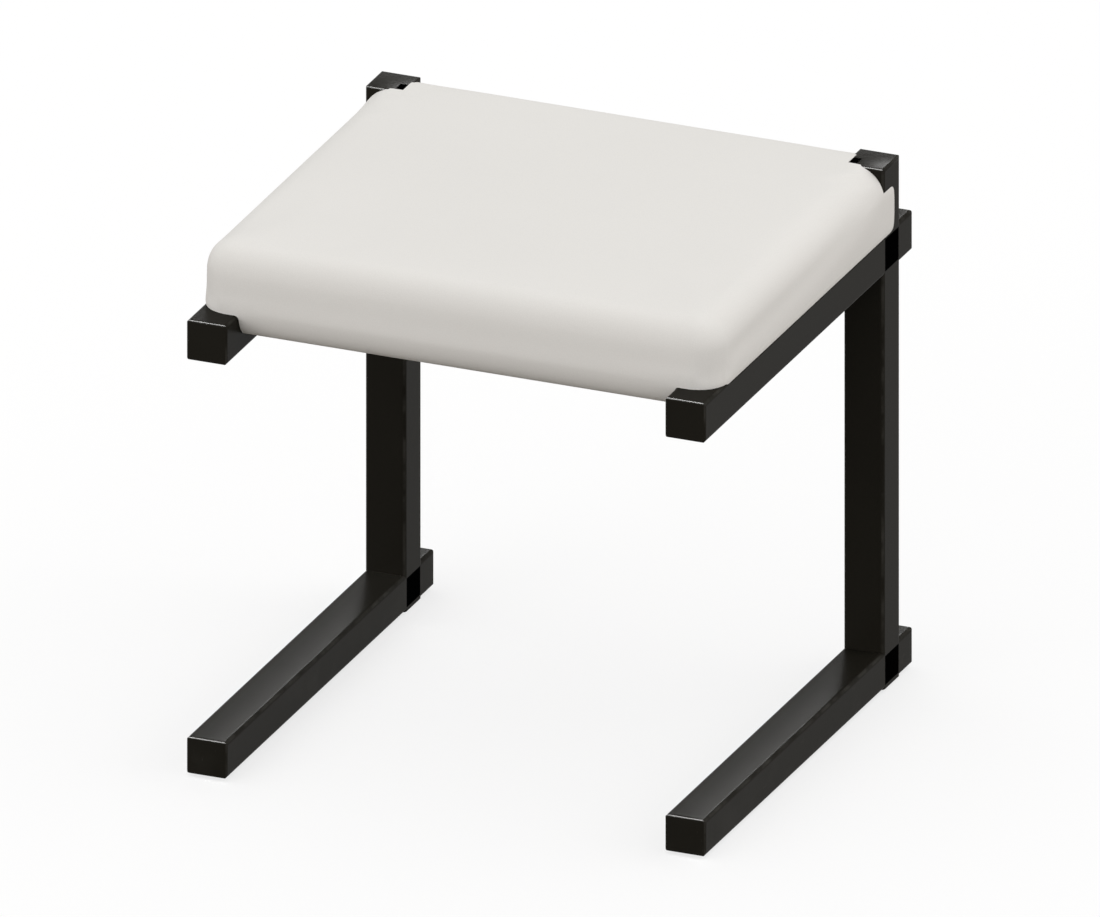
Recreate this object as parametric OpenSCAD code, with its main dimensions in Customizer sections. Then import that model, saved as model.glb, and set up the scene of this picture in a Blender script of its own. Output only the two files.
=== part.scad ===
// Shoe fitting stool: two C-shaped side frames of square tube carry a
// thick padded seat that hangs between and over the two seat rails.
// The tubes meet in cast cross joints, so each length of tube is its own piece.
// Millimetres, +Z up, -Y is the front, the origin is on the floor under the middle.

/* [Frame] */
// overall width across the two side frames
frame_w = 450; // [380:1:520]
// length of the seat rails and of the floor runners, caps included
frame_l = 432; // [370:1:500]
// height of the underside of the seat rails above the floor
rail_h = 362; // [300:1:420]
// height of the post tops and of the middle of the seat above the underside of the rails
post_top_h = 93; // [84:1:108]
// length of the stub that each rail and runner leaves behind its post
tail_l = 25.6; // [25:0.2:40]

/* [Tube] */
// width of the square tube, also the height of the seat rails
tube_w = 35; // [34:0.5:36]
// height of the floor runners, which are lower than they are wide
runner_h = 32; // [30:0.5:35]
// wall of all the tubes
tube_t = 2; // [1.8:0.1:2.2]
// radius of the outer edges of the tubes
tube_r = 3.4; // [3:0.1:3.8]
// thickness of the head of an end cap
cap_t = 3; // [2.6:0.1:3.4]
// radius of the rounded edge of a cap head
cap_r = 2; // [1.2:0.1:2.2]
// length of the ribbed stem of an end cap
cap_stem_l = 8.5; // [7:0.5:9]
// width of the small pads let into the post caps
pad_w = 6.7; // [6:0.1:7.4]
// length of the small pads let into the post caps
pad_l = 12; // [10:0.5:14]

/* [Cross joints] */
// length of the spigots that enter the long tubes
spigot_l = 34; // [28:1:38]
// length of the spigot that enters the upper post
post_spigot_l = 26; // [22:1:30]
// length of the spigots that enter the short tails
tail_spigot_l = 11; // [10.5:0.1:11.5]
// wall of the hollow spigots
spigot_t = 3.2; // [2.8:0.1:3.6]
// thickness of the square covers let into the joint faces
cover_plate_t = 3; // [2.4:0.1:3.6]

/* [Seat] */
// how far the seat reaches out past each side frame
seat_over = 1.5; // [1.5:0.1:1.9]
// distance from the ends of the rails to the front of the seat
seat_front = 20.5; // [16:0.5:26]
// distance from the back of the posts to the back of the seat
seat_back = 6.8; // [6.4:0.1:9]
// radius of the long rounded edges of the seat
seat_r = 26.4; // [24:0.2:28]
// how much the middle of the seat stands above its edges
crown_h = 1.5; // [0.8:0.1:2.4]
// how far the sides of the seat are drawn in towards its underside
draw_in = 1; // [0.4:0.1:1.4]
// thickness of the cover material
skin_t = 1.2; // [1.1:0.05:1.2]
// thickness of the plywood seat board
board_t = 12; // [10:0.5:13]
// thickness of the dust cover under the seat
dust_t = 0.8; // [0.6:0.05:0.9]
// room left between the seat and the tubes that it fits around
seat_fit = 0.3; // [0.2:0.05:0.3]

/* [Crossbars] */
// width of the two flat crossbars
bar_w = 30; // [26:1:34]
// thickness of the crossbars
bar_t = 10; // [9:0.5:11]
// distance from the ends of the rails to the middle of the front crossbar
front_bar_y = 100; // [90:1:110]
// distance from the fronts of the posts to the middle of the rear crossbar
rear_bar_y = 66.4; // [60:0.4:76]
// distance from the inner faces of the rails to the seat screws
seat_screw_x = 40; // [34:1:50]

/* [Screws and glides] */
// thread of the flush screws that hold joints and crossbars
screw_d = 5; // [4.6:0.1:5.2]
// head of the flush screws
screw_head_d = 9.4; // [9:0.1:9.8]
// length of the flush screws
screw_l = 7.5; // [7:0.1:8]
// thread of the seat screws
seat_screw_d = 6; // [5.6:0.1:6.4]
// diameter of the floor glides
glide_d = 24; // [20:0.5:26]
// how far the glides hold the runners off the floor
glide_h = 2.5; // [2:0.1:3]
// diameter of the stem of a glide
glide_stem_d = 8; // [7:0.5:9]
// length of the stem of a glide
glide_stem_l = 12; // [9:0.5:14]
// distance from the ends of the runners to the front glides
glide_y = 26; // [24:1:34]

/* [Hidden] */

// colours
coated = "#1e1d19";
cast_black = "#191815";
nylon = "#0a0a0a";
zinc = "#8b8b88";
ply = "#c9a877";
foam_col = "#e6d9a8";
hide = "#e2e1de";
felt = "#151515";

// small clearances and overruns
over = 0.5;
joint_fit = 0.25;
rib_fit = 0.15;
hole_fit = 0.3;
side_fit = 1.4;

// counts of facets and of outlines
facet_n = 48;
hex_n = 6;
corner_n = 5;
edge_n = 7;
crown_shares = [0.75, 0.45, 0.15];
outline_n = 4 * (corner_n + 1);
quarter_turn = 90;

// derived places of the frame
inner_x = frame_w / 2 - tube_w;
tube_x = frame_w / 2 - tube_w / 2;
front_y = -frame_l / 2;
back_y = frame_l / 2;
post_y1 = back_y - tail_l;
post_y0 = post_y1 - tube_w;
post_y = (post_y0 + post_y1) / 2;
runner_z = glide_h + runner_h / 2;
runner_top = glide_h + runner_h;
rail_z = rail_h + tube_w / 2;
rail_top = rail_h + tube_w;
post_top = rail_h + post_top_h;
bore = tube_w - 2 * tube_t;
runner_bore = runner_h - 2 * tube_t;
bore_r = tube_r - tube_t;
inside_x = inner_x + tube_t;

// derived sizes of joints
spigot_w = bore - 2 * joint_fit;
runner_spigot_h = runner_bore - 2 * joint_fit;
plate_w = tube_w - 2 * tube_r;
runner_plate_h = runner_h - 2 * tube_r;
stud_share = 0.3;
stud_d = plate_w * stud_share;
stud_l = stud_d;
screw_cone_h = (screw_head_d - screw_d) / 2;
hex_share = 0.6;
screw_hex_d = screw_d * hex_share;
rail_spigot_screw_y = post_y0 - spigot_l / 2;
tail_screw_y = post_y1 + tail_spigot_l / 2;

// derived places of the crossbars
bar_z0 = rail_h + tube_t;
bar_z1 = bar_z0 + bar_t;
bar_front_y = front_y + front_bar_y;
bar_rear_y = post_y0 - rear_bar_y;
bar_in_share = 0.5;
bar_half = inside_x + bore * bar_in_share;
bar_screw_share = 0.27;
bar_screw_x = bar_half - bar_w * bar_screw_share;
bar_screw_dy = bar_w * bar_screw_share;
seat_screw_at = inner_x - seat_screw_x;

// derived places of the seat
seat_z0 = bar_z1 + dust_t;
seat_z1 = post_top - crown_h;
seat_x = frame_w / 2 + seat_over;
seat_y0 = front_y + seat_front;
seat_y1 = post_y1 + seat_back;
seat_half_y = (seat_y1 - seat_y0) / 2;
seat_mid_y = (seat_y1 + seat_y0) / 2;
seat_corner_r = seat_r + draw_in + side_fit;
tongue_x = inner_x - side_fit;
wing_z = rail_top;
board_x = tongue_x - skin_t;
board_inset = seat_r + tube_t;
board_z0 = seat_z0 + skin_t;
board_z1 = board_z0 + board_t;
hem_w = seat_r;
dust_x = board_x - tube_t;
dust_y0 = seat_y0 + board_inset + tube_t;
dust_y1 = seat_y1 - board_inset - tube_t;

// derived sizes of the pads let into the post caps
pad_t = cap_r;
peg_share = 0.4;
peg_d = pad_w * peg_share;
peg_end = cap_t + peg_d / 2;

// derived sizes of the seat fixings
nut_flange_share = 3.2;
nut_flange_d = seat_screw_d * nut_flange_share;
nut_flange_t = skin_t;
nut_barrel_share = 1.4;
nut_barrel_d = seat_screw_d * nut_barrel_share;
washer_d = seat_screw_d * nut_flange_share - tube_t;
washer_t = tube_t * 3 / 4;
seat_head_d = 2 * seat_screw_d;
seat_head_share = 0.6;
seat_head_h = seat_screw_d * seat_head_share;
seat_hole_d = seat_screw_d + 2 * hole_fit;
staple_w = bar_w / 3;
staple_t = dust_t * 3 / 4;
staple_cuts = 4;

// a rectangle with rounded corners, centred
module soft_rect(a, b, r) {
    square([a - 2 * r, b], center = true);
    square([a, b - 2 * r], center = true);
    for (i = [-1, 1], j = [-1, 1])
        translate([i * (a / 2 - r), j * (b / 2 - r)]) circle(r = r, $fn = facet_n);
}

// a bar of a drawn outline that runs along Y from y0 to y1
module along_y(y0, y1) {
    translate([0, y1, 0]) rotate([90, 0, 0]) linear_extrude(y1 - y0) children();
}

// a tube along Y whose middle is at height zero
module tube_y(h, y0, y1) {
    along_y(y0, y1) difference() {
        soft_rect(tube_w, h, tube_r);
        soft_rect(bore, h - 2 * tube_t, bore_r);
    }
}

// an upright tube from z0 to z1
module tube_z(z0, z1) {
    translate([0, 0, z0]) linear_extrude(z1 - z0) difference() {
        soft_rect(tube_w, tube_w, tube_r);
        soft_rect(bore, bore, bore_r);
    }
}

// the hole and the countersink that a flush screw needs, entering along +Z
module screw_way(reach) {
    translate([0, 0, -over]) cylinder(d = screw_d + 2 * hole_fit, h = reach + over, $fn = facet_n);
    cylinder(d1 = screw_head_d + 2 * hole_fit, d2 = screw_d,
        h = screw_cone_h + hole_fit, $fn = facet_n);
    translate([0, 0, -over]) cylinder(d = screw_head_d + 2 * hole_fit, h = over, $fn = facet_n);
}

// a flush screw whose head is at zero and whose point is along +Z
module flush_screw() {
    difference() {
        union() {
            cylinder(d1 = screw_head_d, d2 = screw_d, h = screw_cone_h, $fn = facet_n);
            cylinder(d = screw_d, h = screw_l, $fn = facet_n);
        }
        translate([0, 0, -over]) cylinder(d = screw_hex_d, h = screw_cone_h + over, $fn = hex_n);
    }
}

// a screw point for each flush screw of the right-hand side frame
module at_upward_screws() {
    for (p = [
        [tube_x, rail_spigot_screw_y, rail_h], [tube_x, tail_screw_y, rail_h],
        [tube_x, rail_spigot_screw_y, glide_h], [tube_x, tail_screw_y, glide_h]
    ]) translate(p) children();
    for (y = [bar_front_y, bar_rear_y], d = [-1, 1])
        translate([bar_screw_x, y + d * bar_screw_dy, rail_h]) children();
}

module at_forward_screws() {
    for (z = [runner_top + spigot_l / 2, rail_h - spigot_l / 2, rail_top + post_spigot_l / 2])
        translate([tube_x, post_y1, z]) rotate([90, 0, 0]) children();
}

// the right-hand side frame, piece by piece
module seat_rail() {
    difference() {
        translate([tube_x, 0, rail_z]) tube_y(tube_w, front_y + cap_t, post_y0);
        for (y = [bar_front_y, bar_rear_y])
            translate([inner_x - over, y - bar_w / 2 - joint_fit, bar_z0])
                cube([tube_t + bore_r + over, bar_w + 2 * joint_fit, bar_t + joint_fit]);
        at_upward_screws() screw_way(tube_t + over);
    }
}

module rail_tail() {
    difference() {
        translate([tube_x, 0, rail_z]) tube_y(tube_w, post_y1, back_y - cap_t);
        at_upward_screws() screw_way(tube_t + over);
    }
}

module runner() {
    difference() {
        translate([tube_x, 0, runner_z]) tube_y(runner_h, front_y + cap_t, post_y0);
        at_upward_screws() screw_way(tube_t + over);
        translate([tube_x, front_y + glide_y, 0])
            cylinder(d = glide_stem_d + 2 * rib_fit, h = runner_z, $fn = facet_n);
    }
}

module runner_tail() {
    difference() {
        translate([tube_x, 0, runner_z]) tube_y(runner_h, post_y1, back_y - cap_t);
        at_upward_screws() screw_way(tube_t + over);
    }
}

module lower_post() {
    difference() {
        translate([tube_x, post_y, 0]) tube_z(runner_top, rail_h);
        at_forward_screws() screw_way(tube_t + over);
    }
}

module upper_post() {
    difference() {
        translate([tube_x, post_y, 0]) tube_z(rail_top, post_top - cap_t);
        at_forward_screws() screw_way(tube_t + over);
    }
}

// the body of a cross joint: the outlines of both tubes where they cross
module joint_body(h) {
    union() {
        translate([0, 0, -h / 2]) linear_extrude(h) soft_rect(tube_w, tube_w, tube_r);
        along_y(-tube_w / 2, tube_w / 2) soft_rect(tube_w, h, tube_r);
    }
}

// a hollow spigot along Y that starts on a joint face
module spigot_y(h, y0, y1) {
    along_y(y0, y1) difference() {
        soft_rect(spigot_w, h, bore_r);
        square([spigot_w - 2 * spigot_t, h - 2 * spigot_t], center = true);
    }
}

module spigot_z(z0, z1) {
    translate([0, 0, z0]) linear_extrude(z1 - z0) difference() {
        soft_rect(spigot_w, spigot_w, bore_r);
        square(spigot_w - 2 * spigot_t, center = true);
    }
}

// the square recess and stud hole for a joint cover, open towards +X
module cover_seat(h) {
    translate([tube_w / 2 - cover_plate_t, -plate_w / 2, -h / 2])
        cube([cover_plate_t + over, plate_w, h]);
    translate([tube_w / 2 - cover_plate_t - stud_l - hole_fit, 0, 0]) rotate([0, 90, 0])
        cylinder(d = stud_d + 2 * rib_fit, h = stud_l + hole_fit + over, $fn = facet_n);
}

module rail_joint() {
    difference() {
        translate([tube_x, post_y, rail_z]) difference() {
            union() {
                joint_body(tube_w);
                spigot_y(spigot_w, -tube_w / 2 - spigot_l, -tube_w / 2);
                spigot_y(spigot_w, tube_w / 2, tube_w / 2 + tail_spigot_l);
                spigot_z(tube_w / 2, tube_w / 2 + post_spigot_l);
                spigot_z(-tube_w / 2 - spigot_l, -tube_w / 2);
            }
            cover_seat(plate_w);
            mirror([1, 0, 0]) cover_seat(plate_w);
        }
        at_upward_screws() screw_way(tube_t + spigot_t + over);
        at_forward_screws() screw_way(tube_t + spigot_t + over);
    }
}

module runner_joint() {
    difference() {
        translate([tube_x, post_y, runner_z]) difference() {
            union() {
                joint_body(runner_h);
                spigot_y(runner_spigot_h, -tube_w / 2 - spigot_l, -tube_w / 2);
                spigot_y(runner_spigot_h, tube_w / 2, tube_w / 2 + tail_spigot_l);
                spigot_z(runner_h / 2, runner_h / 2 + spigot_l);
            }
            cover_seat(runner_plate_h);
            mirror([1, 0, 0]) cover_seat(runner_plate_h);
        }
        at_upward_screws() screw_way(tube_t + spigot_t + over);
        at_forward_screws() screw_way(tube_t + spigot_t + over);
        translate([tube_x, post_y, 0])
            cylinder(d = glide_stem_d + 2 * rib_fit,
                h = glide_h + glide_stem_l + hole_fit, $fn = facet_n);
    }
}

// a black cover that lies flush in the side face of a joint, facing +X
module joint_cover(h) {
    translate([tube_w / 2 - cover_plate_t, -plate_w / 2, -h / 2]) cube([cover_plate_t, plate_w, h]);
    translate([tube_w / 2 - cover_plate_t - stud_l, 0, 0]) rotate([0, 90, 0])
        cylinder(d = stud_d, h = stud_l + over, $fn = facet_n);
}

module covers_at(z, h) {
    for (s = [-1, 1], m = [0, 1])
        translate([s * tube_x, post_y, z]) mirror([m, 0, 0]) joint_cover(h);
}

// an end cap with its rounded face at zero, its stem along +Z and its height along Y
module end_cap(h) {
    difference() {
        union() {
            intersection() {
                linear_extrude(cap_t) soft_rect(tube_w, h, tube_r);
                translate([0, h, cap_t]) rotate([90, 0, 0])
                    linear_extrude(2 * h) soft_rect(tube_w, 2 * cap_t, cap_r);
                translate([tube_w, 0, cap_t]) rotate([0, -90, 0])
                    linear_extrude(2 * tube_w) soft_rect(2 * cap_t, h, cap_r);
            }
            translate([0, 0, cap_t - over]) linear_extrude(cap_stem_l + over)
                square([bore - 2 * tube_t, h - 4 * tube_t], center = true);
            for (k = [1, 3])
                translate([0, 0, cap_t + cap_stem_l * k / 4 - tube_t / 4]) linear_extrude(tube_t / 2)
                    soft_rect(bore - 2 * rib_fit, h - 2 * tube_t - 2 * rib_fit, bore_r);
        }
        translate([0, 0, cap_t]) linear_extrude(cap_stem_l + over)
            square([bore - 4 * tube_t, h - 6 * tube_t], center = true);
    }
}

module caps_at(z, h) {
    for (s = [-1, 1]) {
        translate([s * tube_x, front_y, z]) rotate([-90, 0, 0]) end_cap(h);
        translate([s * tube_x, back_y, z]) rotate([90, 0, 0]) end_cap(h);
    }
}

// a flat pad with a peg, its top at zero above the middle of a post, or the room for it
module cap_pad(play, above) {
    translate([-tube_w / 2 + tube_r, -tube_w / 2 + tube_r, -pad_t])
        cube([pad_w, pad_l, pad_t + above]);
    translate([pad_w - tube_w / 2 + tube_r - peg_d * 3 / 4, pad_l / 2 - tube_w / 2 + tube_r,
            -peg_end - play])
        cylinder(d = peg_d + 2 * play, h = peg_end + play - pad_t / 2, $fn = facet_n);
}

// the cap on a post: its inner front corner has a recess for a small black pad
module post_cap() {
    translate([tube_x, post_y, post_top]) difference() {
        rotate([180, 0, 0]) end_cap(tube_w);
        cap_pad(rib_fit, over);
    }
}

// a round glide with its stem
module glide() {
    rise = glide_h * 3 / 10;
    cylinder(d1 = glide_d - 2 * rise, d2 = glide_d, h = rise, $fn = facet_n);
    translate([0, 0, rise]) cylinder(d = glide_d, h = glide_h - rise, $fn = facet_n);
    cylinder(d = glide_stem_d, h = glide_h + glide_stem_l, $fn = facet_n);
}

// a flat crossbar with its tapped ends and its seat screw holes
module crossbar(y) {
    difference() {
        translate([-bar_half, y - bar_w / 2, bar_z0]) cube([2 * bar_half, bar_w, bar_t]);
        for (s = [-1, 1], d = [-1, 1])
            translate([s * bar_screw_x, y + d * bar_screw_dy, bar_z0 - over])
                cylinder(d = screw_d + 2 * hole_fit, h = bar_t + 2 * over, $fn = facet_n);
        for (s = [-1, 1])
            translate([s * seat_screw_at, y, bar_z0 - over])
                cylinder(d = seat_hole_d, h = bar_t + 2 * over, $fn = facet_n);
    }
}

// the four places of the seat screws
module at_seat_screws() {
    for (s = [-1, 1], y = [bar_front_y, bar_rear_y]) translate([s * seat_screw_at, y, 0]) children();
}

// the signs of X and Y in each quarter of an outline
function quarter(i) = [[1, 1], [-1, 1], [-1, -1], [1, -1]][i];

// one rounded outline of the seat: half sizes a and b, corner radius r, height z
function outline(a, b, r, z) = [
    for (i = [0:3], k = [0:corner_n])
        let (w = quarter_turn * (i + k / corner_n), q = quarter(i))
            [q[0] * (a - r) + r * cos(w), q[1] * (b - r) + r * sin(w) + seat_mid_y, z]
];

// the outlines from the underside up to the last one of the crown, all shrunk by `cut`
function seat_levels(cut) = concat(
    [for (k = [0:edge_n])
        let (
            w = quarter_turn * (edge_n - k) / edge_n,
            d = cut + (seat_r - cut) * (1 - cos(w)) + draw_in * (edge_n - k) / edge_n
        )
            outline(seat_x - d, seat_half_y - d, seat_corner_r - d,
                seat_z0 + cut + (seat_r - cut) * (1 - sin(w)))],
    [for (k = [0:edge_n])
        let (w = quarter_turn * k / edge_n, d = cut + (seat_r - cut) * (1 - cos(w)))
            outline(seat_x - d, seat_half_y - d, seat_corner_r - d,
                seat_z1 - cut - (seat_r - cut) * (1 - sin(w)))],
    [for (s = crown_shares)
        outline(s * (seat_x - seat_r), s * (seat_half_y - seat_r), s * (seat_corner_r - seat_r),
            seat_z1 - cut + crown_h * (1 - s * s))]
);

module seat_shape(cut) {
    levels = seat_levels(cut);
    n = outline_n;
    m = len(levels);
    points = concat([for (l = levels) each l],
        [[0, seat_mid_y, seat_z0 + cut], [0, seat_mid_y, seat_z1 - cut + crown_h]]);
    faces = concat(
        [for (l = [0:m - 2], k = [0:n - 1]) [l * n + k, (l + 1) * n + k, (l + 1) * n + (k + 1) % n]],
        [for (l = [0:m - 2], k = [0:n - 1]) [l * n + k, (l + 1) * n + (k + 1) % n, l * n + (k + 1) % n]],
        [for (k = [0:n - 1]) [m * n, k, (k + 1) % n]],
        [for (k = [0:n - 1]) [m * n + 1, (m - 1) * n + (k + 1) % n, (m - 1) * n + k]]
    );
    polyhedron(points = points, faces = faces, convexity = 4);
}

// the space the posts need in the seat, and the space the rails need under it
module post_space(room) {
    for (s = [-1, 1])
        translate([s * tube_x - tube_w / 2 - room, post_y0 - room, rail_h])
            cube([tube_w + 2 * room, tube_w + 2 * room, post_top_h + 2 * room + over]);
}

module rail_space(gap, room) {
    for (s = [-1, 1])
        translate([(s < 0 ? -frame_w / 2 - seat_fit : tongue_x - gap), front_y, rail_h])
            cube([frame_w / 2 + seat_fit - tongue_x + gap, frame_l, wing_z - rail_h + room]);
}

module board_block() {
    translate([-board_x, seat_y0 + board_inset, board_z0])
        cube([2 * board_x, seat_y1 - seat_y0 - 2 * board_inset, board_t]);
}

module left_seat_rail() color(coated) mirror([1, 0, 0]) seat_rail();
module left_rail_tail() color(coated) mirror([1, 0, 0]) rail_tail();
module left_runner() color(coated) mirror([1, 0, 0]) runner();
module left_runner_tail() color(coated) mirror([1, 0, 0]) runner_tail();
module left_lower_post() color(coated) mirror([1, 0, 0]) lower_post();
module left_upper_post() color(coated) mirror([1, 0, 0]) upper_post();
module left_rail_joint() color(cast_black) mirror([1, 0, 0]) rail_joint();
module left_runner_joint() color(cast_black) mirror([1, 0, 0]) runner_joint();
module right_seat_rail() color(coated) seat_rail();
module right_rail_tail() color(coated) rail_tail();
module right_runner() color(coated) runner();
module right_runner_tail() color(coated) runner_tail();
module right_lower_post() color(coated) lower_post();
module right_upper_post() color(coated) upper_post();
module right_rail_joint() color(cast_black) rail_joint();
module right_runner_joint() color(cast_black) runner_joint();
module rail_joint_covers() color(nylon) covers_at(rail_z, plate_w);
module runner_joint_covers() color(nylon) covers_at(runner_z, runner_plate_h);

module frame_screws() color(zinc) for (m = [0, 1]) mirror([m, 0, 0]) {
    at_upward_screws() flush_screw();
    at_forward_screws() flush_screw();
}

module rail_caps() color(coated) caps_at(rail_z, tube_w);
module runner_caps() color(coated) caps_at(runner_z, runner_h);
module left_post_cap() color(coated) mirror([1, 0, 0]) post_cap();
module right_post_cap() color(coated) post_cap();
module post_cap_pads() color(nylon) for (m = [0, 1]) mirror([m, 0, 0])
    translate([tube_x, post_y, post_top]) cap_pad(0, 0);

module floor_glides() color(nylon)
    for (s = [-1, 1], y = [front_y + glide_y, post_y]) translate([s * tube_x, y, 0]) glide();

module front_crossbar() color(coated) crossbar(bar_front_y);
module rear_crossbar() color(coated) crossbar(bar_rear_y);

// plywood board with a countersunk hole for each insert nut
module seat_board() color(ply) difference() {
    board_block();
    at_seat_screws() translate([0, 0, board_z0 - over])
        cylinder(d = nut_barrel_d + 2 * hole_fit, h = board_t + 2 * over, $fn = facet_n);
    at_seat_screws() translate([0, 0, board_z1 - nut_flange_t])
        cylinder(d = nut_flange_d + 2 * hole_fit, h = nut_flange_t + over, $fn = facet_n);
}

// foam that lies on the board and reaches out over both rails
module seat_foam() color(foam_col) difference() {
    seat_shape(skin_t);
    rail_space(skin_t, skin_t);
    post_space(seat_fit + skin_t);
    board_block();
}

// cover material: the whole seat without its foam, its board and the tube spaces
module seat_cover() color(hide) difference() {
    seat_shape(0);
    rail_space(0, 0);
    post_space(seat_fit);
    difference() {
        seat_shape(skin_t);
        rail_space(skin_t, skin_t);
        post_space(seat_fit + skin_t);
    }
    translate([-board_x + hem_w, seat_y0 + board_inset + hem_w, seat_z0 - over])
        cube([
            2 * board_x - 2 * hem_w,
            seat_y1 - seat_y0 - 2 * board_inset - 2 * hem_w,
            skin_t + 2 * over
        ]);
}

// black sheet under the seat, held by the crossbars and by staples
module dust_cover() color(felt) difference() {
    translate([-dust_x, dust_y0, bar_z1]) cube([2 * dust_x, dust_y1 - dust_y0, dust_t]);
    at_seat_screws() translate([0, 0, bar_z1 - over])
        cylinder(d = seat_hole_d, h = dust_t + 2 * over, $fn = facet_n);
    at_staples() staple_legs(hole_fit / 2);
}

// the places of the staples along the four edges of the dust cover
module at_staples() {
    edge = hem_w / 3;
    for (k = [0:staple_cuts], y = [dust_y0 + edge, dust_y1 - edge])
        translate([(dust_x - 2 * edge) * (2 * k / staple_cuts - 1), y, bar_z1]) children();
    for (y = [
        (dust_y0 + bar_front_y - bar_w / 2) / 2, (2 * bar_front_y + bar_rear_y) / 3,
        (bar_front_y + 2 * bar_rear_y) / 3, (dust_y1 + bar_rear_y + bar_w / 2) / 2
    ], s = [-1, 1]) translate([s * (dust_x - edge), y, bar_z1]) rotate([0, 0, 90]) children();
}

module staple_legs(room) {
    for (s = [-1, 1])
        translate([s * (staple_w - staple_t) / 2, 0, dust_t / 2 - over / 4])
            cube([staple_t + 2 * room, staple_t + 2 * room, dust_t + over / 2 + 2 * room],
                center = true);
}

module dust_cover_staples() color(zinc) at_staples() {
    translate([0, 0, -staple_t / 2]) cube([staple_w, staple_t, staple_t], center = true);
    for (s = [-1, 1])
        translate([s * (staple_w - staple_t) / 2 - staple_t / 2, -staple_t / 2, -staple_t / 2])
            cube([staple_t, staple_t, dust_t + staple_t / 2]);
}

// flanged nuts let into the top of the board
module insert_nuts() color(zinc) at_seat_screws() difference() {
    union() {
        translate([0, 0, board_z1 - nut_flange_t])
            cylinder(d = nut_flange_d, h = nut_flange_t, $fn = facet_n);
        translate([0, 0, board_z0]) cylinder(d = nut_barrel_d, h = board_t, $fn = facet_n);
    }
    translate([0, 0, board_z0 - over])
        cylinder(d = seat_screw_d + 2 * rib_fit, h = board_t + 2 * over, $fn = facet_n);
}

module seat_screws() color(zinc) at_seat_screws() difference() {
    union() {
        translate([0, 0, bar_z0 - washer_t - seat_head_h])
            cylinder(d = seat_head_d, h = seat_head_h, $fn = facet_n);
        translate([0, 0, bar_z0 - washer_t - over])
            cylinder(d = seat_screw_d,
                h = board_z1 - nut_flange_t - bar_z0 + washer_t + over, $fn = facet_n);
    }
    translate([0, 0, bar_z0 - washer_t - seat_head_h - over])
        cylinder(d = seat_screw_d * hex_share, h = seat_head_h * 3 / 4 + over, $fn = hex_n);
}

module seat_washers() color(zinc) at_seat_screws() difference() {
    translate([0, 0, bar_z0 - washer_t]) cylinder(d = washer_d, h = washer_t, $fn = facet_n);
    translate([0, 0, bar_z0 - washer_t - over])
        cylinder(d = seat_hole_d, h = washer_t + 2 * over, $fn = facet_n);
}

left_seat_rail();
left_rail_tail();
left_runner();
left_runner_tail();
left_lower_post();
left_upper_post();
left_rail_joint();
left_runner_joint();
right_seat_rail();
right_rail_tail();
right_runner();
right_runner_tail();
right_lower_post();
right_upper_post();
right_rail_joint();
right_runner_joint();
rail_joint_covers();
runner_joint_covers();
frame_screws();
rail_caps();
runner_caps();
left_post_cap();
right_post_cap();
post_cap_pads();
floor_glides();
front_crossbar();
rear_crossbar();
seat_board();
seat_foam();
seat_cover();
dust_cover();
dust_cover_staples();
insert_nuts();
seat_screws();
seat_washers();
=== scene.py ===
"""Looks of a shoe fitting stool: two frames of coated square tube and a padded seat."""

from __future__ import annotations

import logging
import math
from collections.abc import Iterable, Mapping, Sequence
from dataclasses import dataclass, field, replace
from enum import Enum
from itertools import product
from typing import Any

import bpy
import numpy as np
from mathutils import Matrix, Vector


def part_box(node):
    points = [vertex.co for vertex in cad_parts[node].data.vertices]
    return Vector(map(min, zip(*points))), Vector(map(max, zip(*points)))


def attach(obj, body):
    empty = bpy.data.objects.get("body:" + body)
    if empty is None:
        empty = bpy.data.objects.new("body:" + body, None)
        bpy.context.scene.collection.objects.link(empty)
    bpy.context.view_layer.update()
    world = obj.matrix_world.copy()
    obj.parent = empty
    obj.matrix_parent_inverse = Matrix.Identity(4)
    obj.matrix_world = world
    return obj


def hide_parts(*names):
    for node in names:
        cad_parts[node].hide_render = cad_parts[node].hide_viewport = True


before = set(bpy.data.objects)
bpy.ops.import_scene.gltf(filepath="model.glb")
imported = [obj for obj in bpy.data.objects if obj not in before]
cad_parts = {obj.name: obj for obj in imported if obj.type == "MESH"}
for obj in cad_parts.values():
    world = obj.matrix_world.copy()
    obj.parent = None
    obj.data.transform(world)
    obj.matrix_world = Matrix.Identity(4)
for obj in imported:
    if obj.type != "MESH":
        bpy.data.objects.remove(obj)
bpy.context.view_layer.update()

BODY = "root"
MM = 0.001
TINY = 1e-9
WARM_WHITE = (1.0, 0.95, 0.93)
Colour = tuple[float, float, float, float]
Sockets = Mapping[str | int, Any]

log = logging.getLogger("stool")


class Side(Enum):
    """The two halves of the stool, with the sign of their X."""

    LEFT = -1
    RIGHT = 1


class Projection(Enum):
    """What a texture's place on a surface is measured from."""

    OBJECT = "Object"
    NORMAL = "Normal"


class Reach(Enum):
    """Which part of a surface's look a lamp adds to."""

    COLOUR = "colour"
    GLOSS = "gloss"


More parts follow.
